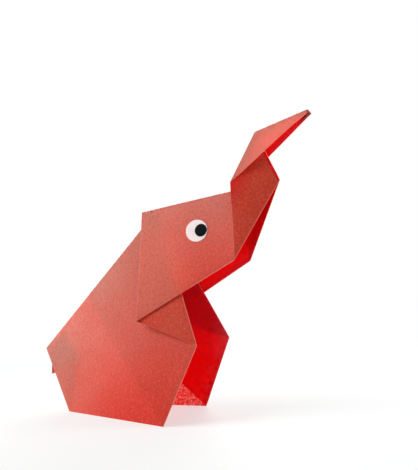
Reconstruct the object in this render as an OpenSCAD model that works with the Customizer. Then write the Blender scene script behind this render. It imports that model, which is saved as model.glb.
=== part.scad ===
// Origami elephant, in millimetres. One square sheet is folded to a kite, halved along its diagonal,
// crimped at the neck, reverse folded three times along the trunk and twice at the rump.
// A white paper disc with a black pupil is glued to each side of the head.
// The elephant faces +X and stands on its lower edges at z = 0; y = 0 is the middle plane.

/* [Sheet] */
// Side of the square sheet
sheet_side = 150; // [146:1:158]
// Thickness of the paper
paper_t = 0.18; // [0.12:0.01:0.24]
// Clear gap between two layers that lie on each other
layer_gap = 0.08; // [0.05:0.01:0.16]
// Strip along the ridge that the folded-in sides leave free
ridge_strip = 2.2; // [1.8:0.1:4]
// Strip along the ridge that they leave free in the neck crimp
crimp_strip = 11; // [9:0.5:16]

/* [Stance] */
// Angle of each body wall to the middle plane
spread = 15; // [13:0.1:17]
// Further angle by which the head opens over the neck crimp
head_open = 1.4; // [1:0.1:2.4]

/* [Lengths along the ridge] */
// Corner tucked into the end of the trunk
end_tuck_l = 5; // [4:0.1:6]
// Tip of the trunk
tip_l = 19.5; // [17:0.1:23]
// Trunk
trunk_l = 19.3; // [16:0.1:22]
// Head
head_l = 55; // [50:0.5:60]
// Neck crimp
crimp_l = 6.7; // [5:0.1:9]
// Body
body_l = 74.6; // [70:0.2:79]
// Part of the rear corner that lies inside the body
rump_tuck_l = 13; // [11:0.2:15]

/* [Crease angles to the ridge] */
// Crease at the end of the trunk
end_angle = 73; // [70:0.5:80]
// Crease at the tip of the trunk
tip_angle = 128.6; // [125:0.1:132]
// Crease between head and trunk
trunk_angle = 124.8; // [121:0.1:128]
// Crease along the back edge of the head
head_angle = 91.3; // [90.8:0.1:93]
// Crease at the front edge of the body
neck_angle = 109.2; // [106:0.1:112]
// Crease along the rump
rump_angle = 95.7; // [93:0.1:98]
// Crease that turns the tail out again
tail_angle = 105; // [102:0.1:109]

/* [Eyes] */
// Diameter of the white disc
eye_d = 8.8; // [6:0.1:12]
// Thickness of the white disc
eye_t = 0.25; // [0.15:0.05:0.6]
// Diameter of the pupil
pupil_d = 4.9; // [3:0.1:6]
// Thickness of the pupil
pupil_t = 0.2; // [0.15:0.05:0.6]
// Distance of the eye from the head's back crease
eye_back = 23.5; // [20:0.5:30]
// Distance of the eye from the ridge
eye_drop = 12.1; // [9:0.1:15]
// Distance of the pupil in front of the eye's middle
pupil_front = 1.8; // [0:0.1:1.8]

/* [Hidden] */
// Angle between the ridge and the folded edge of the kite
kite = 22.5;
// Length of the sheet's diagonal, which becomes the ridge
ridge_l = sheet_side * sqrt(2);
// Distance between the middles of two layers
step = paper_t + layer_gap;
// Corner of the front feet, as distance along the ridge and away from it
foot = [sheet_side, sheet_side * tan(kite)];
// The body, the crimp, the head, the trunk, its tip and the tucked corner are pieces 0 to 5
spreads = [spread, spread, spread + head_open, spread + head_open, spread + head_open, spread + head_open];
// Creases 1 to 5 lie in front of those pieces: distance from the trunk's corner, and angle
tip_x = end_tuck_l + tip_l;
trunk_x = tip_x + trunk_l;
head_x = trunk_x + head_l;
neck_x = head_x + crimp_l;
front_creases = [
    [neck_x, neck_angle],
    [head_x, head_angle],
    [trunk_x, trunk_angle],
    [tip_x, tip_angle],
    [end_tuck_l, end_angle]
];
// The two creases behind the body
rump_x = neck_x + body_l;
rear_creases = [[rump_x, rump_angle], [rump_x + rump_tuck_l, tail_angle]];
// Slope at which the ridge of the body rises, so that the lower edges lie level
rise = atan(cos(spread));
// Height of the trunk's corner above the ground while the sheet is still straight
lift = sheet_side * (sin(rise) + tan(kite) * cos(spread) * cos(rise));
// Distance that a folded-in layer keeps from a crease that closes over it
crease_clear = 1.5;
// Width by which the raw edges under the body run on before they are cut level
foot_trim = 0.4;

// A point of the straight, halved sheet: along the ridge, down the right wall, outwards from it
function on_wall(x, w, h, angle) =
    [-x, -w * sin(angle) - h * cos(angle), -w * cos(angle) + h * sin(angle)];

// A reverse fold mirrors all that follows in the plane through the two creases of one fold
function crease_normal(crease, angle) =
    let (n = [sin(crease[1]) * cos(angle), 0, cos(crease[1])]) n / norm(n);
function fold_over(p, crease, angle) =
    let (n = crease_normal(crease, angle), d = (p + [crease[0], 0, 0]) * n) p - 2 * d * n;
function folded_front(p, k) =
    k == 0 ? p : folded_front(fold_over(p, front_creases[k - 1], spreads[k - 1]), k - 1);
function folded_rear(p, k) =
    k == 0 ? p : folded_rear(fold_over(p, rear_creases[k - 1], spread), k - 1);

// Stands the sheet on its feet
function raised(p) =
    [p[0] * cos(rise) - p[2] * sin(rise), p[1], p[0] * sin(rise) + p[2] * cos(rise) + lift];
// Points of a crease on the flat sheet: at the ridge, at depth w, on the kite's edge, on the raw edge
function at_ridge(crease) = [crease[0], 0];
function at_depth(crease, w) = [crease[0] - w / tan(crease[1]), w];
function at_kite(crease) =
    let (d = crease[0] * sin(crease[1]) / sin(180 - kite - crease[1])) d * [cos(kite), sin(kite)];
function at_raw(crease, trim = 0) =
    let (d = (ridge_l + trim * sqrt(2) - crease[0]) / (sin(crease[1]) - cos(crease[1])))
    [crease[0] - d * cos(crease[1]), d * sin(crease[1])];
function moved(crease, x) = [crease[0] + x, crease[1]];

neck = front_creases[0];
head = front_creases[1];
trunk = front_creases[2];
tip = front_creases[3];
end = front_creases[4];
rump = rear_creases[0];
tail = rear_creases[1];

// Ends of the elephant, whose middle is the origin
back_end = raised([-rump_x, 0, 0])[0];
trunk_end = [
    for (q = [at_ridge(end), at_kite(end)])
        raised(folded_front(on_wall(q[0], q[1], 0, spreads[4]), 4))[0]
];
front_end = max(trunk_end);
function stood(p) = raised(p) - [(back_end + front_end) / 2, 0, 0];
function front(k, q, h = 0) = stood(folded_front(on_wall(q[0], q[1], h, spreads[k]), k));
function rear(k, q, h = 0) = stood(folded_rear(on_wall(q[0], q[1], h, spread), k));

// Where the free strip meets the kite's edge
strip_end = ridge_strip * [1 / tan(kite), 1];

// Outlines of the outer layer, pieces 0 to 5
outer_front = [
    [at_ridge(neck), at_ridge(rump), at_raw(rump, foot_trim), foot * (1 + foot_trim / sheet_side),
        at_kite(neck)],
    [at_ridge(neck), at_ridge(head), at_kite(head), at_kite(neck)],
    [at_ridge(head), at_ridge(trunk), at_kite(trunk), at_kite(head)],
    [at_ridge(trunk), at_ridge(tip), at_kite(tip), at_kite(trunk)],
    [at_ridge(tip), at_ridge(end), at_kite(end), at_kite(tip)],
    [at_ridge(end), [0, 0], at_kite(end)]
];
// Outlines of the rump tuck and the tail
outer_rear = [
    [at_ridge(rump), at_ridge(tail), at_raw(tail), at_raw(rump)],
    [at_ridge(tail), [ridge_l, 0], at_raw(tail)]
];
// Outlines of the folded-in layer, pieces 0 to 4; the first and last points lie on the kite's edge
inner_front = [
    [foot, [sheet_side, ridge_strip], at_depth(neck, ridge_strip), at_kite(neck)],
    [at_kite(neck), at_depth(neck, crimp_strip), at_depth(moved(head, crease_clear), crimp_strip),
        at_kite(moved(head, crease_clear))],
    [at_kite(moved(head, -crease_clear)), at_depth(moved(head, -crimp_l - crease_clear), ridge_strip),
        at_depth(trunk, ridge_strip), at_kite(trunk)],
    [at_kite(trunk), at_depth(trunk, ridge_strip), at_depth(moved(tip, crease_clear), ridge_strip),
        at_kite(moved(tip, crease_clear))],
    [at_kite(moved(tip, -crease_clear)), at_depth(moved(tip, -crease_clear), ridge_strip), strip_end]
];
// Side on which the folded-in layer lies: inside the body, head and tip, outside the crimp and trunk
inner_side = [-step, step, -step, step, -step];

// A flat layer of paper between the points of its two faces
module layer(face_a, face_b) {
    points = concat(face_a, face_b);
    hull()
        polyhedron(points, [[for (i = [0 : len(points) - 1]) i]]);
}

// A rounded fold along the line or strip that the points span
module fold(points) {
    hull()
        for (p = points)
            translate(p)
                sphere(d = paper_t * 1.12, $fn = 8);
}

module outer_layer() {
    for (k = [0 : 5])
        layer([for (q = outer_front[k]) front(k, q, -paper_t / 2)],
              [for (q = outer_front[k]) front(k, q, paper_t / 2)]);
    for (k = [0 : 1])
        layer([for (q = outer_rear[k]) rear(k + 1, q, -paper_t / 2)],
              [for (q = outer_rear[k]) rear(k + 1, q, paper_t / 2)]);
}

module inner_layer() {
    for (k = [0 : 4]) {
        outline = inner_front[k];
        h = inner_side[k];
        layer([for (q = outline) front(k, q, h - paper_t / 2)],
              [for (q = outline) front(k, q, h + paper_t / 2)]);
        // the kite's folded edge joins it to the outer layer
        a = outline[0];
        b = outline[len(outline) - 1];
        fold([front(k, a), front(k, b), front(k, a, h), front(k, b, h)]);
    }
}

module creases() {
    for (k = [1 : 5])
        fold([front(k, at_ridge(front_creases[k - 1])), front(k, at_kite(front_creases[k - 1]))]);
    for (k = [1 : 2])
        fold([rear(k, at_ridge(rear_creases[k - 1])), rear(k, at_raw(rear_creases[k - 1]))]);
    // both layers go round the neck and the trunk crease
    for (c = [[1, crimp_strip], [3, ridge_strip]]) {
        crease = front_creases[c[0] - 1];
        ends = [at_depth(crease, c[1]), at_kite(crease)];
        fold([for (q = ends) for (k = [c[0] - 1, c[0]]) front(k, q, inner_side[k])]);
    }
}

module ridge() {
    ends = [rump_x, neck_x, head_x, trunk_x, tip_x, end_tuck_l, 0];
    for (k = [0 : 5])
        fold([front(k, [ends[k], 0]), front(k, [ends[k + 1], 0])]);
    fold([rear(1, at_ridge(rump)), rear(1, at_ridge(tail))]);
    fold([rear(2, at_ridge(tail)), rear(2, [ridge_l, 0])]);
}

module both_sides() {
    children();
    mirror([0, 1, 0])
        children();
}

module folded_sheet() {
    color("#c8321f")
        difference() {
            union() {
                both_sides() {
                    outer_layer();
                    inner_layer();
                    creases();
                }
                ridge();
            }
            translate([-sheet_side, -sheet_side, -sheet_side])
                cube([2 * sheet_side, 2 * sheet_side, sheet_side]);
        }
}

// Puts a disc on the right wall of the head, its axis pointing outwards
module on_head(q, h) {
    o = front(2, q, h);
    down = front(2, q + [0, 1], h) - o;
    ahead = front(2, q - [1, 0], h) - o;
    out = front(2, q, h + 1) - o;
    multmatrix([for (i = [0 : 2]) [down[i], ahead[i], out[i], o[i]]])
        children();
}

module right_eye_white() {
    color("white")
        on_head([head_x - eye_back, eye_drop], paper_t / 2)
            cylinder(d = eye_d, h = eye_t, $fn = 64);
}

module right_eye_pupil() {
    color("black")
        on_head([head_x - eye_back - pupil_front, eye_drop], paper_t / 2 + eye_t)
            cylinder(d = pupil_d, h = pupil_t, $fn = 64);
}

module left_eye_white() {
    color("white")
        mirror([0, 1, 0])
            right_eye_white();
}

module left_eye_pupil() {
    color("black")
        mirror([0, 1, 0])
            right_eye_pupil();
}

folded_sheet();
right_eye_white();
right_eye_pupil();
left_eye_white();
left_eye_pupil();
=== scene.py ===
import math
from types import SimpleNamespace

import bpy
import numpy as np
from mathutils import Matrix, Vector
from mathutils.geometry import delaunay_2d_cdt


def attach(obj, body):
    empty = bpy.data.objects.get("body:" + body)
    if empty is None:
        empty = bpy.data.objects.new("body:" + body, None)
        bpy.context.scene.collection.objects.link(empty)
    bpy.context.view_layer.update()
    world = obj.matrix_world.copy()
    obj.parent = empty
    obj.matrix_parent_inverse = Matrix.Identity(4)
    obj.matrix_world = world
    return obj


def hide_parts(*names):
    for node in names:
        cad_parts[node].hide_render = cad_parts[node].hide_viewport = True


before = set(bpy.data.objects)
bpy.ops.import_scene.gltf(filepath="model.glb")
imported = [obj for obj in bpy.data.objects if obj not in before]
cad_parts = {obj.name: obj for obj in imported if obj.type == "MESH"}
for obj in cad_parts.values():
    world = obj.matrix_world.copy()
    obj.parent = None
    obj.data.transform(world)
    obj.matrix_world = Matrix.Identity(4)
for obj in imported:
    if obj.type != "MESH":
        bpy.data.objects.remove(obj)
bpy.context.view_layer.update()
scene = bpy.context.scene
mm = 0.001                # sizes below are in mm, the frame is in metres
print("frame loaded with", len(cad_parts), "nodes")


class Wire:
    # a socket that can be used in sums, each sum adds one Math node
    def __init__(self, net, socket):
        self.net, self.socket = net, socket

    def __add__(self, other):
        return self.net.calc("ADD", self, other)

    def __radd__(self, other):
        return self.net.calc("ADD", other, self)

    def __sub__(self, other):
        return self.net.calc("SUBTRACT", self, other)

    def __rsub__(self, other):
        return self.net.calc("SUBTRACT", other, self)

    def __mul__(self, other):
        return self.net.calc("MULTIPLY", self, other)

    def __rmul__(self, other):
        return self.net.calc("MULTIPLY", other, self)

    def __truediv__(self, other):
        return self.net.calc("DIVIDE", self, other)

    def __rtruediv__(self, other):
        return self.net.calc("DIVIDE", other, self)

    def __neg__(self):
        return self.net.calc("MULTIPLY", self, -1.0)

    def __abs__(self):
        return self.net.calc("ABSOLUTE", self)

    def __lt__(self, other):
        return self.net.calc("LESS_THAN", self, other)

    def __gt__(self, other):
        return self.net.calc("GREATER_THAN", self, other)

    def low(self, other):
        return self.net.calc("MINIMUM", self, other)

    def high(self, other):
        return self.net.calc("MAXIMUM", self, other)

    def clip(self):
        return self.low(1.0).high(0.0)

    def ramp(self, start, over):
        # from 0 at the start to 1 a length further on, or further back if that is negative
        return ((self - start) / over).clip()


class Net:
    # a node tree, with one method that adds any node
    def __init__(self, tree):
        self.tree = tree

    def node(self, kind, settings=None, sockets=None):
        made = self.tree.nodes.new(kind)
        for name, value in (settings or {}).items():
            setattr(made, name, value)
        for name, value in (sockets or {}).items():
            self.join(value, made.inputs[name])
        return made

    def join(self, value, socket):
        if isinstance(value, Wire):
            value = value.socket
        if isinstance(value, bpy.types.NodeSocket):
            self.tree.links.new(value, socket)
        else:
            socket.default_value = value

    def wire(self, made, output=0):
        return Wire(self, made.outputs[output])

    def calc(self, operation, *values):
        made = self.node("ShaderNodeMath", {"operation": operation}, dict(enumerate(values)))
        return self.wire(made)

    def blend(self, factor, first, second):
        # colours go through a Mix node, whose colour sockets are 6, 7 and 2
        mix = self.node("ShaderNodeMix", {"data_type": "RGBA"}, {0: factor, 6: first, 7: second})
        return mix.outputs[2]

    def noise(self, vector, scale, detail, roughness):
        made = self.node("ShaderNodeTexNoise", None, {
            "Vector": vector, "Scale": scale, "Detail": detail, "Roughness": roughness})
        return self.wire(made)

    def share(self, factor, first, second):
        # shaders go through a Mix Shader
        return self.node("ShaderNodeMixShader", None, {0: factor, 1: first, 2: second}).outputs[0]

    def matte(self, tone, roughness, shine, height, bumped):
        # a dull surface, and the bump of its grain, given as strength and depth in mm
        strength, depth = bumped
        bump = self.node("ShaderNodeBump", None, {
            "Strength": strength, "Distance": depth * mm, "Height": height}).outputs[0]
        front = self.node("ShaderNodeBsdfPrincipled", None, {
            "Base Color": tone, "Roughness": roughness, "Specular IOR Level": shine,
            "Normal": bump})
        return front.outputs[0], bump

    def show(self, shader):
        self.node("ShaderNodeOutputMaterial", None, {0: shader})


def newMaterial(name):
    material = bpy.data.materials.new(name)
    material.use_nodes = True
    material.node_tree.nodes.clear()
    return material, Net(material.node_tree)


def colour(red, green, blue):
    # screen values from 0 to 255 as the linear colour that a shader takes
    def linear(value):
        value /= 255.0
        return value / 12.92 if value <= 0.04045 else ((value + 0.055) / 1.055) ** 2.4
    return (linear(red), linear(green), linear(blue), 1.0)


# the view, on the right side and a little below the middle
cameraSet = {
    "place": (105.56, -182.1, 48.1),
    "yaw": 25.685,
    "pitch": -4.342,
    "roll": -1.902,
    "focal": 572.91,          # pixels of a picture that is 470 high
    "high": 470.0,
    "sensor": 36.0,
    "near": 5.0,
}


def makeCamera(s):
    yaw, pitch, roll = (math.radians(s[name]) for name in ("yaw", "pitch", "roll"))
    ahead = Vector((-math.sin(yaw) * math.cos(pitch), math.cos(yaw) * math.cos(pitch),
                    -math.sin(pitch)))
    right = Vector((math.cos(yaw), math.sin(yaw), 0.0))
    up = right.cross(ahead)
    across = right * math.cos(roll) + up * math.sin(roll)
    above = up * math.cos(roll) - right * math.sin(roll)
    data = bpy.data.cameras.new("camera")
    data.sensor_width = s["sensor"]
    data.lens = s["sensor"] * s["focal"] / s["high"]
    data.clip_start = s["near"] * mm
    camera = bpy.data.objects.new("camera", data)
    turn = Matrix((across, above, -ahead)).transposed().to_4x4()
    camera.matrix_world = Matrix.Translation(Vector(s["place"]) * mm) @ turn
    scene.collection.objects.link(camera)
    scene.camera = camera


makeCamera(cameraSet)
print("camera placed")


# the folded sheet
sheetSet = {
    "side": 150.0,        # the square before folding
    "spread": 15.0,       # how far each wall leans out from the middle, degrees
    "headOpen": 1.4,      # the head's walls lean out this much more
    "tipOpen": 22.0,      # and those of the trunk's tip, which its tucked corner holds open
    "tipOver": 16.0,      # past the tip's fold, until they are open
    "tailBend": 2.4,      # the tail hangs in a bow
    "layerGap": 0.26,     # from layer to layer where two lie together
    "bulge": 0.45,        # how far the middle of a panel swells
    "bulgeReach": 9.0,    # from a fold to where the swelling is full
    "thick": 0.14,
    "cell": 2.2,          # mesh size
    "foldCell": 0.9,      # along folds, as a share of the mesh size
    "cellClear": 0.5,     # share of the mesh size that the mesh keeps off folds
    "row": 0.4,           # a row of points on each side of a fold
    "rowClear": 0.9,      # share of that which its points keep off other folds
    "rowApart": 0.5,      # and off each other
    "rumpX": -56.59,      # where the rump stands in the frame
    "creases": {          # place along the ridge from the trunk's corner, and angle to the ridge
        "Neck": (105.5, 109.2),
        "Head": (98.8, 91.3),
        "Trunk": (43.8, 124.8),
        "Tip": (24.5, 128.6),
        "End": (5.0, 73.0),
        "Rump": (180.1, 95.7),
        "Tail": (193.1, 105.5),
    },
}
kite = math.radians(22.5)            # between the ridge and the kite's folds
foldAngle = math.radians(24.0)       # edges that turn more than this stay sharp
frontFolds = ["Neck", "Head", "Trunk", "Tip", "End"]
rearFolds = ["Rump", "Tail"]


def foldTree():
    # reads a flat sheet in mm, ridge along X from the trunk's corner, and folds it up
    tree = bpy.data.node_groups.new("foldSheet", "GeometryNodeTree")
    tree.interface.new_socket("Geometry", in_out="INPUT", socket_type="NodeSocketGeometry")
    names = ["Side", "Spread", "Head Open", "Tip Open", "Tip Over", "Tail Bend", "Layer Gap",
             "Bulge", "Bulge Reach", "Raise", "Rise", "Lift", "Centre"]
    for fold in frontFolds + rearFolds:
        names += [fold + " Place", fold + " Angle"]
    for name in names:
        tree.interface.new_socket(name, in_out="INPUT", socket_type="NodeSocketFloat")
    tree.interface.new_socket("Material", in_out="INPUT", socket_type="NodeSocketMaterial")
    tree.interface.new_socket("Geometry", in_out="OUTPUT", socket_type="NodeSocketGeometry")
    net = Net(tree)
    entry = net.node("NodeGroupInput")
    value = {name: Wire(net, entry.outputs[name]) for name in names}
    place = net.node("GeometryNodeInputPosition")
    flat = net.node("ShaderNodeSeparateXYZ", None, {0: place.outputs[0]})
    flatX, flatY = net.wire(flat, 0), net.wire(flat, 1)
    hand = net.calc("SIGN", flatY)                 # -1 on the right wall, 1 on the left
    flatW = abs(flatY)

    # the kite fold: both raw edges by the trunk's corner turn in to the ridge
    touch = 0.001             # what lies on the kite fold is not yet turned in
    flap = flatW > flatX * math.tan(kite) + touch
    turnedX = flatX * math.cos(2 * kite) + flatW * math.sin(2 * kite)
    turnedW = flatX * math.sin(2 * kite) - flatW * math.cos(2 * kite)
    x = flatX + flap * (turnedX - flatX)
    w = flatW + flap * (turnedW - flatW)

    # how far a point is from each crease, and whether it lies on it or past it
    near = 0.01
    gone, past = {}, {}
    for fold in frontFolds + rearFolds:
        angle = net.calc("RADIANS", value[fold + " Angle"])
        gone[fold] = ((x - value[fold + " Place"]) * net.calc("SINE", angle)
                      + w * net.calc("COSINE", angle))
        past[fold] = gone[fold] < near if fold in frontFolds else gone[fold] > -near
    spread = net.calc("RADIANS", value["Spread"])
    headSpread = spread + net.calc("RADIANS", value["Head Open"])
    tipOpen = net.calc("RADIANS", value["Tip Open"])
    opened = (-gone["Tip"] / value["Tip Over"]).clip()
    lean = (spread + past["Head"] * (headSpread - spread)
            + past["Tip"] * opened * opened * tipOpen)
    crimp = past["Neck"] - past["Head"]

    # the flaps lie inside the walls, and outside where an odd number of folds turns them
    turned = 1.0 - 2.0 * past["Neck"]
    for fold in frontFolds[1:]:
        turned = turned * (1.0 - 2.0 * past[fold])
    diagonal = value["Side"] * math.sqrt(2.0)
    fromKite = x * math.sin(kite) - w * math.cos(kite)
    fromGround = (diagonal - x - w) * math.sqrt(0.5)

    # the gap between two layers closes at folds, under the ridge and between head and body
    byKite, byCrease = 0.3, 0.7       # share of the gap for each mm from a fold
    byRidge, byHead = 0.6, 0.33       # share of the room that is there
    free = 10.0                       # more room than a gap needs
    step = value["Layer Gap"] * (fromKite * byKite).clip()
    for fold in frontFolds:
        step = step * (abs(gone[fold]) * byCrease).clip()
    inside = turned > 0.0
    step = step.low(w * net.calc("TANGENT", spread) * byRidge + (1.0 - inside) * free)
    nearHead = past["Neck"] * (1.0 - past["Trunk"])
    byWall, byFold = 0.0244, 0.012    # mm of room for each mm from the ridge and the head's fold
    room = w * byWall + abs(gone["Head"]) * byFold
    step = step.low(room * byHead + (1.0 - nearHead) * free)

    # each panel swells a little between its folds
    swell = value["Bulge"] * (1.0 - crimp)
    for reach in [w, fromKite, fromGround] + [gone[fold] for fold in frontFolds + rearFolds]:
        ratio = reach / value["Bulge Reach"]
        swell = swell * (1.0 - net.calc("EXPONENT", -(ratio * ratio)))
    height = swell + value["Raise"] - flap * turned * step

    # the straight tent, then every reverse fold as a mirror through its two creases
    px = -x
    py = hand * (w * net.calc("SINE", lean) + height * net.calc("COSINE", lean))
    pz = height * net.calc("SINE", lean) - w * net.calc("COSINE", lean)
    leans = {"Neck": spread, "Head": spread, "Trunk": headSpread, "Tip": headSpread,
             "End": headSpread + tipOpen}
    for fold in reversed(frontFolds):
        px, pz = mirrorPast(net, px, pz, past[fold], value, fold, leans[fold])
    for fold in reversed(rearFolds):
        px, pz = mirrorPast(net, px, pz, past[fold], value, fold, spread)

    # stood on its lower edges, with the tail's bow
    rise = net.calc("RADIANS", value["Rise"])
    cosRise, sinRise = net.calc("COSINE", rise), net.calc("SINE", rise)
    middle = (x - value["Tail Place"]) / (diagonal - value["Tail Place"])
    least = 0.1               # mm, no division by zero at the tail's corner
    narrow = (1.0 - w / (diagonal - x).high(least)).clip()
    bend = past["Tail"] * value["Tail Bend"] * 4.0 * middle * (1.0 - middle) * narrow
    stoodX = px * cosRise - pz * sinRise - value["Centre"] - bend
    stoodZ = px * sinRise + pz * cosRise + value["Lift"]
    spot = net.node("ShaderNodeCombineXYZ", None, {0: stoodX * mm, 1: py * mm, 2: stoodZ * mm})
    folded = net.node("GeometryNodeSetPosition", None,
                      {"Geometry": entry.outputs["Geometry"], "Position": spot.outputs[0]})
    real = net.node("GeometryNodeRealizeInstances", None, {0: folded.outputs[0]})
    painted = net.node("GeometryNodeSetMaterial", None,
                       {"Geometry": real.outputs[0], "Material": entry.outputs["Material"]})
    net.node("NodeGroupOutput", None, {0: painted.outputs[0]})
    return tree


def mirrorPast(net, px, pz, past, value, fold, lean):
    # what lies past a crease is mirrored through the plane of its near and far half
    angle = net.calc("RADIANS", value[fold + " Angle"])
    nx = net.calc("SINE", angle) * net.calc("COSINE", lean)
    nz = net.calc("COSINE", angle)
    size = nx * nx + nz * nz
    depth = past * 2.0 * ((px + value[fold + " Place"]) * nx + pz * nz) / size
    return px - depth * nx, pz - depth * nz


foldSheet = foldTree()
print("fold tree made with", len(foldSheet.nodes), "nodes")


def foldSizes(s):
    # the tree's inputs, with the turn and the lift that set its lower edges on the floor
    spread = math.radians(s["spread"])
    rise = math.atan(math.cos(spread))
    lift = s["side"] * (math.sin(rise) + math.tan(kite) * math.cos(spread) * math.cos(rise))
    sizes = {
        "Side": s["side"], "Spread": s["spread"], "Head Open": s["headOpen"],
        "Tip Open": s["tipOpen"], "Tip Over": s["tipOver"], "Tail Bend": s["tailBend"],
        "Layer Gap": s["layerGap"], "Bulge": s["bulge"], "Bulge Reach": s["bulgeReach"],
        "Raise": 0.0, "Rise": math.degrees(rise), "Lift": lift,
        "Centre": -s["creases"]["Rump"][0] * math.cos(rise) - s["rumpX"],
    }
    for fold, (at, angle) in s["creases"].items():
        sizes[fold + " Place"], sizes[fold + " Angle"] = at, angle
    return sizes


def foldUp(name, flatMesh, sizes, material, thick, back=None, edge=None):
    # folds a flat mesh, gives it its thickness and leaves a plain mesh
    flat = bpy.data.objects.new(name + "Flat", flatMesh)
    scene.collection.objects.link(flat)
    paints = [material, back or material, edge or material]
    for paint in paints:
        flatMesh.materials.append(paint)
    folding = flat.modifiers.new("fold", "NODES")
    folding.node_group = foldSheet
    for item in foldSheet.interface.items_tree:
        if item.in_out == "INPUT" and item.name in sizes:
            folding[item.identifier] = float(sizes[item.name])
        if item.in_out == "INPUT" and item.name == "Material":
            folding[item.identifier] = material
    wall = flat.modifiers.new("thickness", "SOLIDIFY")
    wall.thickness = thick * mm
    wall.offset = 0.0
    wall.material_offset, wall.material_offset_rim = 1, 2
    evaluated = flat.evaluated_get(bpy.context.evaluated_depsgraph_get())
    mesh = bpy.data.meshes.new_from_object(evaluated)
    mesh.name = name
    while len(mesh.materials) < len(paints):
        mesh.materials.append(None)
    for i, paint in enumerate(paints):
        mesh.materials[i] = paint
    flat.modifiers.clear()
    bpy.data.objects.remove(flat)
    mesh.shade_smooth()
    mesh.set_sharp_from_angle(angle=foldAngle)
    piece = bpy.data.objects.new(name, mesh)
    scene.collection.objects.link(piece)
    return piece


def cutLines(points, step):
    # a line through the points, cut into short equal runs
    line = [Vector(points[0])]
    for a, b in zip(points, points[1:]):
        a, b = Vector(a), Vector(b)
        count = max(1, round((b - a).length / step))
        line += [a.lerp(b, i / count) for i in range(1, count + 1)]
    return line


def creaseEnds(s, fold):
    # on the ridge, then on the kite line and the raw edge, or on the raw edge alone
    at, angle = s["creases"][fold][0], math.radians(s["creases"][fold][1])
    if fold in frontFolds:
        along = at * math.sin(angle) / math.sin(math.pi - kite - angle)
        return [(at, 0.0), (along * math.cos(kite), along * math.sin(kite)),
                (at * math.cos(2 * kite), at * math.sin(2 * kite))]
    along = (s["side"] * math.sqrt(2.0) - at) / (math.sin(angle) - math.cos(angle))
    return [(at, 0.0), (at - along * math.cos(angle), along * math.sin(angle))]


def flapSides(s, spots):
    # 1 where a spot's layer is a flap that faces the hollow inside, 2 where it faces outwards
    deep = np.abs(spots[:, 1])
    flap = deep > spots[:, 0] * math.tan(kite)
    x = np.where(flap, (spots[:, 0] + deep) * math.sqrt(0.5), spots[:, 0])
    w = np.where(flap, (spots[:, 0] - deep) * math.sqrt(0.5), deep)
    passed = np.zeros(len(spots), dtype=np.int32)
    for fold in frontFolds:
        at, angle = s["creases"][fold][0], math.radians(s["creases"][fold][1])
        passed += (x - at) * math.sin(angle) + w * math.cos(angle) < 0.0
    return (flap * (1 + passed % 2)).astype(np.float32)


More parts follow.
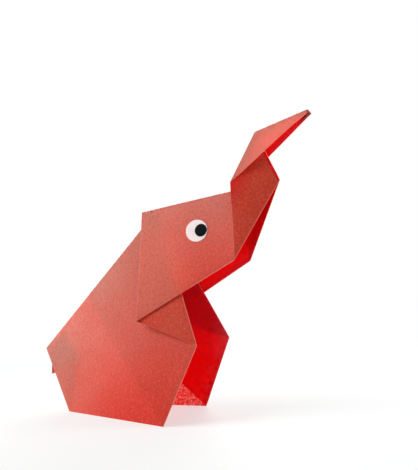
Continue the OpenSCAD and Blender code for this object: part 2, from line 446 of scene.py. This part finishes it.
def flatSheet(s):
    # the square as a triangle mesh, with edges along every fold
    side, long = s["side"], s["side"] * math.sqrt(2.0)
    ends = {fold: creaseEnds(s, fold) for fold in s["creases"]}
    rear = sorted(ends[fold][0] for fold in rearFolds)
    front = sorted(ends[fold][0] for fold in frontFolds)
    folds = [[(0.0, 0.0)] + front + rear + [(long, 0.0)]]
    borders = []
    for hand in (-1.0, 1.0):
        def turn(points):
            return [(x, hand * y) for x, y in points]
        foot = (side, side * math.tan(kite))
        onKite = sorted(ends[fold][1] for fold in frontFolds)
        onFront = sorted(ends[fold][2] for fold in frontFolds)
        onRear = sorted(ends[fold][1] for fold in rearFolds)
        folds.append(turn([(0.0, 0.0)] + onKite + [foot]))
        folds += [turn(ends[fold]) for fold in ends]
        borders.append(turn([(0.0, 0.0)] + onFront + [(long / 2, long / 2), foot] + onRear
                            + [(long, 0.0)]))
    runs = [(a, b) for line in folds + borders for a, b in zip(line, line[1:])]
    starts = np.array([a for a, b in runs])
    spans = np.array([b for a, b in runs]) - starts

    def clearOf(points):
        # distance to the nearest fold or border
        gap = points[:, None, :] - starts[None]
        t = np.clip((gap * spans).sum(2) / (spans ** 2).sum(1), 0.0, 1.0)
        return np.sqrt(((gap - t[..., None] * spans) ** 2).sum(2)).min(1)

    points, edges, beside = [], [], []
    for line in folds + borders:
        cut = cutLines(line, s["cell"] * s["foldCell"])
        edges += [(len(points) + i, len(points) + i + 1) for i in range(len(cut) - 1)]
        points += [tuple(p) for p in cut]
        for a, b in zip(cut, cut[1:]):
            off = (b - a).orthogonal().normalized() * s["row"]
            beside += [tuple(a.lerp(b, 0.5) + off), tuple(a.lerp(b, 0.5) - off)]
    beside = np.array(beside)
    beside = beside[clearOf(beside) > s["row"] * s["rowClear"]]
    apart = np.linalg.norm(beside[:, None] - beside[None], axis=2)
    beside = beside[~np.triu(apart < s["row"] * s["rowApart"], 1).any(0)]
    rows = np.arange(0.0, long, s["cell"] * math.sqrt(0.75))
    columns = np.arange(-long / 2, long / 2, s["cell"])
    grid = np.array([(x, y + (i % 2) * s["cell"] / 2)
                     for i, x in enumerate(rows) for y in columns])
    loose = np.vstack([beside, grid[clearOf(grid) > s["cell"] * s["cellClear"]]])
    margin, weld, sliver = 0.1, 1e-4, 0.01      # off the border, joined points, flat triangles
    within = np.abs(loose[:, 1]) < np.minimum(loose[:, 0], long - loose[:, 0]) - margin
    points += [tuple(p) for p in loose[within]]
    made = delaunay_2d_cdt([Vector(p) for p in points], edges, [], 0, weld, False)
    spots = np.array([tuple(p) for p in made[0]])
    corners = spots[np.array(made[2])]
    doubled = np.abs(np.cross(corners[:, 1] - corners[:, 0], corners[:, 2] - corners[:, 0]))
    longest = np.linalg.norm(corners - np.roll(corners, 1, axis=1), axis=2).max(1)
    faces = [face for face, high in zip(made[2], doubled / longest) if high > sliver]
    mesh = bpy.data.meshes.new("flatSheet")
    mesh.from_pydata([(x, y, 0.0) for x, y in spots], [], [face[::-1] for face in faces])
    sides = flapSides(s, spots[np.array(faces)].mean(1))
    mesh.attributes.new("flap", "FLOAT", "FACE").data.foreach_set("value", sides)
    corner = np.zeros(len(mesh.loops), dtype=np.int32)
    mesh.loops.foreach_get("vertex_index", corner)
    across = np.stack([spots[:, 0] - spots[:, 1], spots[:, 0] + spots[:, 1]], 1) / long
    layer = mesh.uv_layers.new(name="sheet")
    layer.data.foreach_set("uv", across[corner].astype(np.float32).ravel())
    return mesh


paperSet = {
    # what the red side throws back, with painted light: paler by the ridge where light from above
    # falls, and darker with painted shade far from it
    "face": colour(235, 178, 158),
    "deep": colour(201, 75, 47),
    "fullShadeAt": 54.0,
    "patchy": 0.4,                     # how far the clouds shift that
    # tones laid over it, how strong they are, and a start and length in mm for where they lie
    # painted shade makes head and trunk deeper, and a painted highlight lights the cheek
    "headShade": {"much": 0.36, "head": (104.0, -24.0), "trunk": (22.0, 12.0)},
    "cheek": {"tone": colour(254, 138, 112), "much": 0.75, "front": (74.0, 12.0),
              "rear": (99.5, -0.5), "ridge": (0.0, 12.0)},
    # painted shade makes the body duller behind the head, and a painted glow of light through the
    # paper makes it redder towards its feet
    "neck": {"tone": colour(182, 106, 88), "much": 0.75, "lies": (40.0, -40.0)},
    "low": {"tone": colour(202, 48, 28), "much": 0.6, "lies": (30.0, 20.0), "notNeck": 0.9},
    # a painted highlight on the trunk's tip, and painted shade on the trunk beneath it, on the
    # tail and in the trunk's tucked end
    "tip": {"tone": colour(255, 152, 130), "much": 0.6, "lies": (0.0, -2.0)},
    "under": {"tone": colour(214, 24, 20), "much": 0.9, "lies": (7.0, -7.0)},
    "tail": {"tone": colour(176, 44, 46), "much": 0.8, "lies": (194.0, 3.0)},
    "tuck": {"tone": colour(140, 36, 36), "much": 0.85, "lies": (6.0, -1.0)},
    # a painted red glow along raw edges on outer flaps, and a painted sheen along the kite fold on
    # inner ones
    "rawEdgeGlow": {"tone": colour(240, 50, 46), "lies": (0.95, -0.25)},
    "lipSheen": {"tone": colour(255, 84, 96), "lies": (9.0, -9.0)},
    # outward flaps are darker with painted shade, as they face away from the light
    "outer": colour(230, 82, 50),      # flaps that face outwards
    # inner flaps take a deep red that paints the glow of light through the paper
    "inside": colour(242, 20, 40),     # flaps that face the hollow
    # the paper's own texture, as scale for each mm, detail and roughness of a noise
    "fibre": (3.2, 3.0, 0.65),
    "fibreDrawn": (1.0, 0.28, 1.0),    # fibres are drawn out one way, and turned
    "fibreTurn": (0.0, 0.0, 0.5),
    "grain": (1.25, 3.0, 0.7),
    "mottle": (0.55, 4.0, 0.6),
    "cloud": (0.05, 3.0, 0.55),
    "brown": {"tone": colour(218, 128, 106), "much": 0.7, "atFeet": 0.35, "cloud": 1.6,
              "mottle": 1.8, "from": 0.42},
    "dark": {"tone": colour(190, 70, 52), "lies": (0.5, -0.3125)},   # between the fibres
    "raised": {"grain": 1.6, "fibre": 1.4, "from": 0.52},            # and on top of them
    # wear along folds and cut edges, with a painted highlight where they catch the light
    "wornAndLit": {"tone": colour(252, 196, 180), "much": 0.8, "reach": 0.36, "least": 0.35,
             "lies": (0.0, 30.0)},
    "soft": 0.24,                      # it falls short by this much at a soft fold
    "softKite": (78.0, 122.0),         # the kite fold is soft from here to there, by the crimp
    "crisp": ["Neck", "Head", "Trunk"],
    # the surface: roughness, its change with fibres and with wear, shine, relief
    "rough": (0.62, 0.25, 0.08),
    "backRough": (0.66, 0.25),
    "shine": 0.25,
    "bump": (0.22, 0.2),               # strength, and depth in mm
    "relief": (0.5, 0.5, 0.6),         # of fibres, grain and mottle
    "backRelief": (0.5, 0.5, 0.5),     # of fibres, grain and flecks
    # light that comes through: its colour, and its share of what is seen
    "through": colour(252, 84, 92),
    "share": {"wall": 0.48, "inside": 0.93, "grain": 0.3, "mottle": 0.2, "rawEdgeGlow": 0.25,
              "lipSheen": 0.1, "ends": 0.25, "legMottle": 0.8},
    "legShade": {"much": 0.3, "lipSheen": 0.3, "lies": (132.0, -13.0)},   # in the legs, by the crimp
    # the other side, pale and dark flecks on red
    "fleck": (1.1, 2.0, 0.7),          # a noise, as above
    "speckle": colour(255, 214, 196),
    "speckleRed": colour(250, 64, 52),
    "speckleDark": colour(150, 14, 18),
    "paleFleck": {"much": 0.85, "from": 0.47, "sharp": 8.0, "grain": 1.5},
    "darkFleck": (0.41, -1 / 9),
    "noFleck": (1.8, -0.5),            # none this near to the kite fold
    "backRed": colour(255, 118, 116),
    "backPale": colour(255, 226, 220),
    "backShare": {"red": 0.90, "pale": 0.68, "dark": 0.3, "fold": 0.4},
    # the cut edge has no flat coordinates, so its noise is scaled for each metre
    "cut": colour(240, 160, 146),
    "cutGrain": (2600.0, 2.0, 0.6),
    "cutRough": (0.7, 0.2),
    "cutShine": 0.2,
    "cutBump": (0.2, 0.1),
}


def sheetSpots(net, s, sheet):
    # the sheet's own coordinates in mm, its fine texture, and wear with a painted highlight along
    # its folds and edges
    side = sheet["side"]
    uv = net.node("ShaderNodeUVMap", {"uv_map": "sheet"})
    split = net.node("ShaderNodeSeparateXYZ", None, {0: uv.outputs[0]})
    u, v = net.wire(split, 0), net.wire(split, 1)
    spot = net.node("ShaderNodeVectorMath", {"operation": "SCALE"},
                    {0: uv.outputs[0], "Scale": side}).outputs[0]
    drawn = net.node("ShaderNodeMapping", None, {
        "Vector": spot, "Scale": s["fibreDrawn"], "Rotation": s["fibreTurn"]})
    fibre = net.noise(drawn.outputs[0], *s["fibre"])
    grain = net.noise(spot, *s["grain"])
    mottle = net.noise(spot, *s["mottle"])
    along = (u + v) * (side * math.sqrt(0.5))
    fromRidge = abs(u - v) * (side * math.sqrt(0.5))
    fromKite = along * math.sin(kite) - fromRidge * math.cos(kite)
    raw = u.low(v).low(1.0 - u).low(1.0 - v) * side
    flap = fromKite < 0.0
    x = along + flap * ((along + fromRidge) * math.sqrt(0.5) - along)
    w = fromRidge + flap * ((along - fromRidge) * math.sqrt(0.5) - fromRidge)

    # the kite fold is soft on the trunk and by the crimp
    first, last = s["softKite"]
    softKite = (along < sheet["creases"]["Trunk"][0]) + (along > first) * (along < last)
    edge = (raw.low(fromRidge) + s["soft"]).low(abs(fromKite) + softKite * s["soft"])
    ahead = {}                # mm from each crease, negative past the front ones
    for fold, (at, angle) in sheet["creases"].items():
        turn = math.radians(angle)
        ahead[fold] = (x - at) * math.sin(turn) + w * math.cos(turn)
        gap = abs(ahead[fold])
        edge = edge.low(gap if fold in s["crisp"] else gap + s["soft"])
    wornAndLit = s["wornAndLit"]
    wearAndHighlight = edge.ramp(wornAndLit["reach"], -wornAndLit["reach"]) * (wornAndLit["least"] + mottle)
    wearAndHighlight = (wearAndHighlight * along.ramp(*wornAndLit["lies"])).clip()
    return SimpleNamespace(spot=spot, fibre=fibre, grain=grain, mottle=mottle, wearAndHighlight=wearAndHighlight,
                           along=along, fromRidge=fromRidge, fromKite=fromKite, raw=raw,
                           ahead=ahead)


def cameThrough(net, tint, bump):
    made = net.node("ShaderNodeBsdfTranslucent", None, {"Color": tint, "Normal": bump})
    return made.outputs[0]


def paperMaterial(s, sheet):
    material, net = newMaterial("redPaper")
    p = sheetSpots(net, s, sheet)
    cloud = net.noise(p.spot, *s["cloud"])
    flap = net.wire(net.node("ShaderNodeAttribute", {"attribute_name": "flap"}), "Fac")
    inner, outer = 1.0 - abs(flap - 1.0), flap > 1.5

    # where each tone lies
    headShade, cheek, low = s["headShade"], s["cheek"], s["low"]
    # painted shade on the head and the trunk, added to the painted shade away from the ridge
    onHead = p.along.ramp(*headShade["head"]) * p.along.ramp(*headShade["trunk"])
    # painted light and shade: paler by the ridge, darker away from it and on the head and trunk;
    # clouds shift it at random
    away = p.fromRidge / s["fullShadeAt"] + onHead * headShade["much"] + (cloud - 0.5) * s["patchy"]
    # painted highlight on the cheek
    onCheek = p.along.ramp(*cheek["front"]) * p.along.ramp(*cheek["rear"])
    onCheek = onCheek * p.fromRidge.ramp(*cheek["ridge"])
    onBody = p.ahead["Neck"] > 0.0
    # painted shade behind the head
    onNeckShade = onBody * p.ahead["Neck"].ramp(*s["neck"]["lies"])
    # painted glow of light through the paper, towards the feet
    onLowGlow = onBody * p.fromRidge.ramp(*low["lies"]) * (1.0 - onNeckShade * low["notNeck"])
    # painted highlight on the trunk's tip
    onTipLit = p.ahead["Tip"].ramp(*s["tip"]["lies"])
    # painted shade, deep red, on the trunk beneath the tip
    shadeUnderTip = outer * p.ahead["Tip"].ramp(*s["under"]["lies"])
    # painted shade on the tail
    onTailShade = p.along.ramp(*s["tail"]["lies"])
    # painted shade in the trunk's tucked end
    onTuckShade = p.along.ramp(*s["tuck"]["lies"])
    # painted red glow along raw edges of outer flaps
    onRawEdgeGlow = outer * p.raw.ramp(*s["rawEdgeGlow"]["lies"]) * (1.0 - onTuckShade)
    # painted sheen along the kite fold on inner flaps
    byKite = abs(p.fromKite).ramp(*s["lipSheen"]["lies"])
    onLipSheen = inner * byKite * byKite

    # duller patches, and the grain from its hollows to its tops
    brown, raised = s["brown"], s["raised"]
    dull = (cloud - brown["from"]) * brown["cloud"] + (p.mottle - 0.5) * brown["mottle"]
    dull = dull.clip() * (brown["much"] - onLowGlow * brown["atFeet"])
    tops = (p.grain - 0.5) * raised["grain"] + (p.fibre - raised["from"]) * raised["fibre"]
    face = s["face"]
    for mask, tone in (
            (away.clip(), s["deep"]),
            (onCheek * cheek["much"], cheek["tone"]),
            (onNeckShade * s["neck"]["much"], s["neck"]["tone"]),
            (onLowGlow * low["much"], low["tone"]),
            (outer, s["outer"]),
            (dull, brown["tone"]),
            (p.grain.ramp(*s["dark"]["lies"]), s["dark"]["tone"]),
            (tops.clip(), s["wornAndLit"]["tone"]),
            (onTipLit * s["tip"]["much"], s["tip"]["tone"]),
            (shadeUnderTip * s["under"]["much"], s["under"]["tone"]),
            (onTailShade * s["tail"]["much"], s["tail"]["tone"]),
            (onRawEdgeGlow, s["rawEdgeGlow"]["tone"]),
            (inner, s["inside"]),
            (onLipSheen, s["lipSheen"]["tone"]),
            (p.wearAndHighlight * s["wornAndLit"]["much"], s["wornAndLit"]["tone"]),
            (onTuckShade * s["tuck"]["much"], s["tuck"]["tone"])):
        face = net.blend(mask, face, tone)

    # how much is light that comes through
    share = s["share"]
    part = share["wall"] + inner * (share["inside"] - share["wall"])
    part = part + (p.grain - 0.5) * share["grain"] + (p.mottle - 0.5) * share["mottle"]
    part = part + onRawEdgeGlow * share["rawEdgeGlow"] - onLipSheen * share["lipSheen"] - (onTailShade + onTuckShade) * share["ends"]
    inLegs, shade = inner * onBody, s["legShade"]
    shaded = inLegs * p.along.ramp(*shade["lies"])
    part = part + inLegs * (p.mottle - 0.5) * share["legMottle"]
    part = part - shaded * (shade["much"] + onLipSheen * shade["lipSheen"])
    rough, byFibre, byWear = s["rough"]
    rough = rough + (p.fibre - 0.5) * byFibre - p.wearAndHighlight * byWear
    fibreHigh, grainHigh, mottleHigh = s["relief"]
    height = p.fibre * fibreHigh + p.grain * grainHigh + p.mottle * mottleHigh
    front, bump = net.matte(face, rough, s["shine"], height, s["bump"])
    net.show(net.share(part.clip(), front, cameThrough(net, s["through"], bump)))
    return material


def backMaterial(s, sheet):
    material, net = newMaterial("speckledBack")
    p = sheetSpots(net, s, sheet)
    fleck = net.noise(p.spot, *s["fleck"])
    fold = abs(p.fromKite).ramp(*s["noFleck"])
    shape = s["paleFleck"]
    pale = (fleck - shape["from"]) * shape["sharp"] + (p.grain - 0.5) * shape["grain"]
    pale = pale.clip() * (1.0 - fold)
    dark = fleck.ramp(*s["darkFleck"]) * (1.0 - fold)
    face = net.blend(pale * shape["much"], s["speckleRed"], s["speckle"])
    face = net.blend(dark, face, s["speckleDark"])
    face = net.blend(fold, face, s["outer"])
    rough, byFibre = s["backRough"]
    fibreHigh, grainHigh, fleckHigh = s["backRelief"]
    height = p.fibre * fibreHigh + p.grain * grainHigh + fleck * fleckHigh
    front, bump = net.matte(face, rough + (p.fibre - 0.5) * byFibre, s["shine"], height, s["bump"])
    glow = net.share(pale, cameThrough(net, s["backRed"], bump),
                     cameThrough(net, s["backPale"], bump))
    share = s["backShare"]
    part = share["red"] - pale * share["pale"] - dark * share["dark"] - fold * share["fold"]
    net.show(net.share(part.clip(), front, glow))
    return material


def cutMaterial(s):
    material, net = newMaterial("cutEdge")
    where = net.node("ShaderNodeTexCoord")
    grain = net.noise(where.outputs["Object"], *s["cutGrain"])
    tone = net.blend(grain, s["face"], s["cut"])
    rough, byGrain = s["cutRough"]
    net.show(net.matte(tone, rough + grain * byGrain, s["cutShine"], grain, s["cutBump"])[0])
    return material


redPaper = paperMaterial(paperSet, sheetSet)
speckledBack = backMaterial(paperSet, sheetSet)
cutEdge = cutMaterial(paperSet)
sheetSizes = foldSizes(sheetSet)
paper = foldUp("folded_paper", flatSheet(sheetSet), sheetSizes, redPaper, sheetSet["thick"],
               speckledBack, cutEdge)
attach(paper, "root")
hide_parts("folded_sheet")
print("sheet folded,", len(paper.data.polygons), "faces")


# the eyes, paper discs that follow the head's walls
eyeSet = {
    "place": (75.3, 12.25),      # along the ridge and away from it
    "white": (8.9, 7.9, 0.25),   # long and short way across, thickness
    "slant": 139.0,              # of the long way, from the ridge, degrees
    "pupilShift": (-1.75, 0.25),
    "pupil": (4.8, 4.5, 0.20),
    "pupilSlant": 125.0,
    "around": 56,                # mesh points round a disc, and rings from its middle
    "rings": 7,
    "paint": colour(248, 232, 232),
    "shade": colour(236, 214, 214),
    "paintFinish": (0.6, 0.3),   # roughness and shine
    "ink": colour(13, 13, 14),
    "inkWorn": colour(24, 24, 25),
    "inkFinish": (0.8, 0.06),
    "cloud": (260.0, 3.0, 0.6),  # noise scale for each metre, detail, roughness
    "fibre": (1900.0, 3.0, 0.65),
    "cloudFrom": 0.35,
    "patchy": (1.6, 0.8),        # how much clouds and fibres change the tone
    "roughChange": 0.2,
    "bump": (0.12, 0.1),
}


def flatDisc(s, name, centre, hand, long, short, slant):
    around, rings = s["around"], s["rings"]
    spots, faces = [(centre[0], hand * centre[1], 0.0)], []
    along, aside = math.cos(math.radians(slant)), math.sin(math.radians(slant))
    for ring in range(1, rings + 1):
        for i in range(around):
            a = long * ring / rings / 2 * math.cos(2 * math.pi * i / around)
            b = short * ring / rings / 2 * math.sin(2 * math.pi * i / around)
            spots.append((centre[0] + a * along - b * aside,
                          hand * (centre[1] + a * aside + b * along), 0.0))
    for i in range(around):
        j = (i + 1) % around
        faces.append((0, 1 + i, 1 + j))
        for ring in range(rings - 1):
            a = 1 + ring * around
            faces.append((a + i, a + around + i, a + around + j, a + j))
    mesh = bpy.data.meshes.new(name)
    mesh.from_pydata(spots, [], faces if hand < 0.0 else [face[::-1] for face in faces])
    return mesh


def discMaterial(s, name, light, dark, finish):
    material, net = newMaterial(name)
    where = net.node("ShaderNodeTexCoord").outputs["Object"]
    cloud, fibre = net.noise(where, *s["cloud"]), net.noise(where, *s["fibre"])
    byCloud, byFibre = s["patchy"]
    mixed = (cloud - s["cloudFrom"]) * byCloud + (fibre - 0.5) * byFibre
    tone = net.blend(mixed.clip(), light, dark)
    rough, shine = finish
    rough = rough + (fibre - 0.5) * s["roughChange"]
    net.show(net.matte(tone, rough, shine, fibre, s["bump"])[0])
    return material


def makeEyes(s, thick):
    whitePaper = discMaterial(s, "whitePaper", s["paint"], s["shade"], s["paintFinish"])
    blackPaper = discMaterial(s, "blackPaper", s["ink"], s["inkWorn"], s["inkFinish"])
    x, w = s["place"]
    shiftX, shiftW = s["pupilShift"]
    for word, hand in (("right", -1.0), ("left", 1.0)):
        long, short, deep = s["white"]
        lift = thick / 2 + deep / 2
        disc = flatDisc(s, word + "White", (x, w), hand, long, short, s["slant"])
        white = foldUp(word + "_eye_disc", disc, dict(sheetSizes, Raise=lift), whitePaper, deep)
        lift += deep / 2
        long, short, deep = s["pupil"]
        lift += deep / 2
        spot = (x + shiftX, w + shiftW)
        disc = flatDisc(s, word + "Pupil", spot, hand, long, short, s["pupilSlant"])
        pupil = foldUp(word + "_pupil_disc", disc, dict(sheetSizes, Raise=lift), blackPaper, deep)
        for piece, node, slot in ((white, "_eye_white", "eye_white"),
                                  (pupil, "_eye_pupil", "pupil")):
            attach(piece, "root")
            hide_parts(word + node)


makeEyes(eyeSet, sheetSet["thick"])
print("eyes set on the head")


# floor and light
studioSet = {
    "floor": colour(241, 247, 245),
    "floorShade": colour(238, 244, 243),
    "cloud": (9.0, 3.0, 0.5),  # noise scale for each metre, detail, roughness
    "grain": (700.0, 2.0, 0.5),
    "rough": (0.7, 0.1),       # and its change with the grain
    "shine": 0.1,
    "bump": (0.05, 0.2),
    "reach": 6000.0,           # from the middle to the floor's sides
    "under": -0.08,            # just under the sheet's lower edges
    "shown": 0.50,             # share of its shading that the camera sees
    "lift": 0.54,              # and the white that is added there
    "bounce": 0.42,            # share of its light that the floor throws back on the paper
    "glow": 0.5,               # light of its own, as from a lit table
    "fade": (90.0, 150.0),     # from here, over this length, the floor turns plain white
    "sky": 0.12,
    "aim": (0.0, 0.0, 45.0),
    "lamps": {                 # place, size, watts
        "key": ((-150.0, -150.0, 230.0), 200.0, 0.7),
        "back": ((-120.0, 520.0, 100.0), 500.0, 3.6),
        "side": ((430.0, 150.0, 110.0), 220.0, 1.6),
    },
}


def makeFloor(s):
    material, net = newMaterial("paleFloor")
    where = net.node("ShaderNodeTexCoord").outputs["Object"]
    cloud, grain = net.noise(where, *s["cloud"]), net.noise(where, *s["grain"])
    tone = net.blend(cloud, s["floor"], s["floorShade"])
    path = net.node("ShaderNodeLightPath")
    seen = net.wire(path, "Is Camera Ray").high(net.wire(path, "Is Glossy Ray"))
    share = s["bounce"] + seen * (s["shown"] - s["bounce"])
    tone = net.blend(share, colour(0, 0, 0), tone)
    rough, byGrain = s["rough"]
    ground = net.matte(tone, rough + grain * byGrain, s["shine"], grain, s["bump"])[0]
    glow = net.node("ShaderNodeEmission", None, {"Strength": s["glow"]})
    lift = net.node("ShaderNodeEmission", None, {"Strength": s["lift"]})
    lit = net.share(seen, glow.outputs[0], lift.outputs[0])
    lifted = net.node("ShaderNodeAddShader", None, {0: ground, 1: lit})
    far = net.node("ShaderNodeVectorMath", {"operation": "LENGTH"}, {0: where})
    start, over = s["fade"]
    away = net.wire(far, "Value").ramp(start * mm, over * mm)
    plain = net.node("ShaderNodeEmission")
    net.show(net.share(seen * away, lifted.outputs[0], plain.outputs[0]))
    mesh = bpy.data.meshes.new("floor")
    reach, low = s["reach"] * mm, s["under"] * mm
    corners = [(x * reach, y * reach, low) for x, y in ((-1, -1), (1, -1), (1, 1), (-1, 1))]
    mesh.from_pydata(corners, [], [(0, 1, 2, 3)])
    mesh.materials.append(material)
    floor = bpy.data.objects.new("floor", mesh)
    scene.collection.objects.link(floor)


def makeLight(s):
    world = bpy.data.worlds.new("studio")
    scene.world = world
    world.use_nodes = True
    world.node_tree.nodes.clear()
    net = Net(world.node_tree)
    path = net.node("ShaderNodeLightPath")
    through = net.wire(path, "Is Transmission Ray") * (1.0 - net.wire(path, "Is Diffuse Ray"))
    seen = net.wire(path, "Is Camera Ray").high(net.wire(path, "Is Glossy Ray")).high(through)
    sky = net.node("ShaderNodeBackground", None, {
        "Color": colour(255, 255, 255), "Strength": s["sky"] + seen * (1.0 - s["sky"])})
    net.node("ShaderNodeOutputWorld", None, {0: sky.outputs[0]})
    for name, (place, size, watts) in s["lamps"].items():
        data = bpy.data.lights.new(name, "AREA")
        data.shape, data.size, data.energy = "DISK", size * mm, watts
        lamp = bpy.data.objects.new(name, data)
        lamp.location = Vector(place) * mm
        aim = Vector(s["aim"]) * mm - lamp.location
        lamp.rotation_euler = aim.to_track_quat("-Z", "Y").to_euler()
        lamp.visible_camera = False
        scene.collection.objects.link(lamp)
    scene.view_settings.view_transform = "Standard"


makeFloor(studioSet)
makeLight(studioSet)
print("floor and light set")
